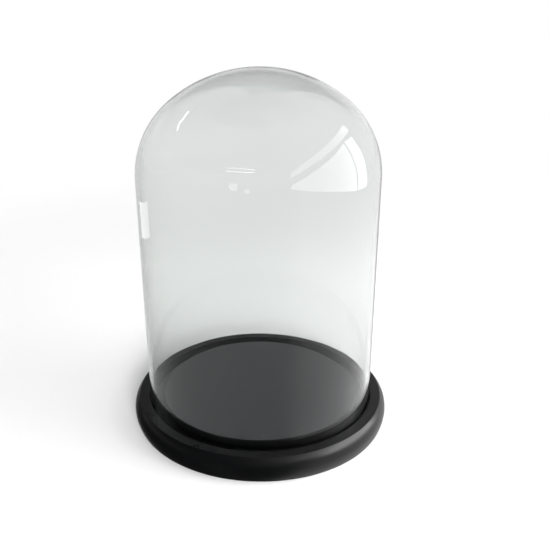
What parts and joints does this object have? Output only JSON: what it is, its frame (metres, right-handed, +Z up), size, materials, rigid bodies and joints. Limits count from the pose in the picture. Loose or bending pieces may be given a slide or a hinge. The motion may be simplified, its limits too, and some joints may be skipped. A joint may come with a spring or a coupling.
{
  "type": "bell jar dome",
  "caption": "Tall clear glass bell jar with a rounded crown, standing in a groove in a low round black base; the dome lifts straight off.",
  "frame": {"origin": "centre of the surface that the base stands on, under the middle of the dome", "axes": "+Z up along the axis of the dome and base, the way the dome lifts off; +X and +Y are alike, because the object is round"},
  "size_m": [0.222, 0.222, 0.2949],
  "materials": {
    "clear_glass": "clear blown glass, polished",
    "black_lacquer": "turned board with sprayed satin black lacquer",
    "platform_lacquer": "board with sprayed satin black lacquer, matt on the flat",
    "zinc_steel": "bright zinc plated",
    "black_felt": "pressed felt"
  },
  "bodies": {
    "base": {"plinth": "black_lacquer", "platform_disc": "platform_lacquer", "platform_screws": "zinc_steel", "felt_foot_1": "black_felt", "felt_foot_2": "black_felt", "felt_foot_3": "black_felt", "felt_foot_4": "black_felt"},
    "dome": {"glass_dome": "clear_glass"}
  },
  "joints": [
    {"name": "dome_lift", "type": "slide", "parent": "base", "child": "dome", "axis": [0, 0, 1], "range_m": [0, 0.3]}
  ]
}
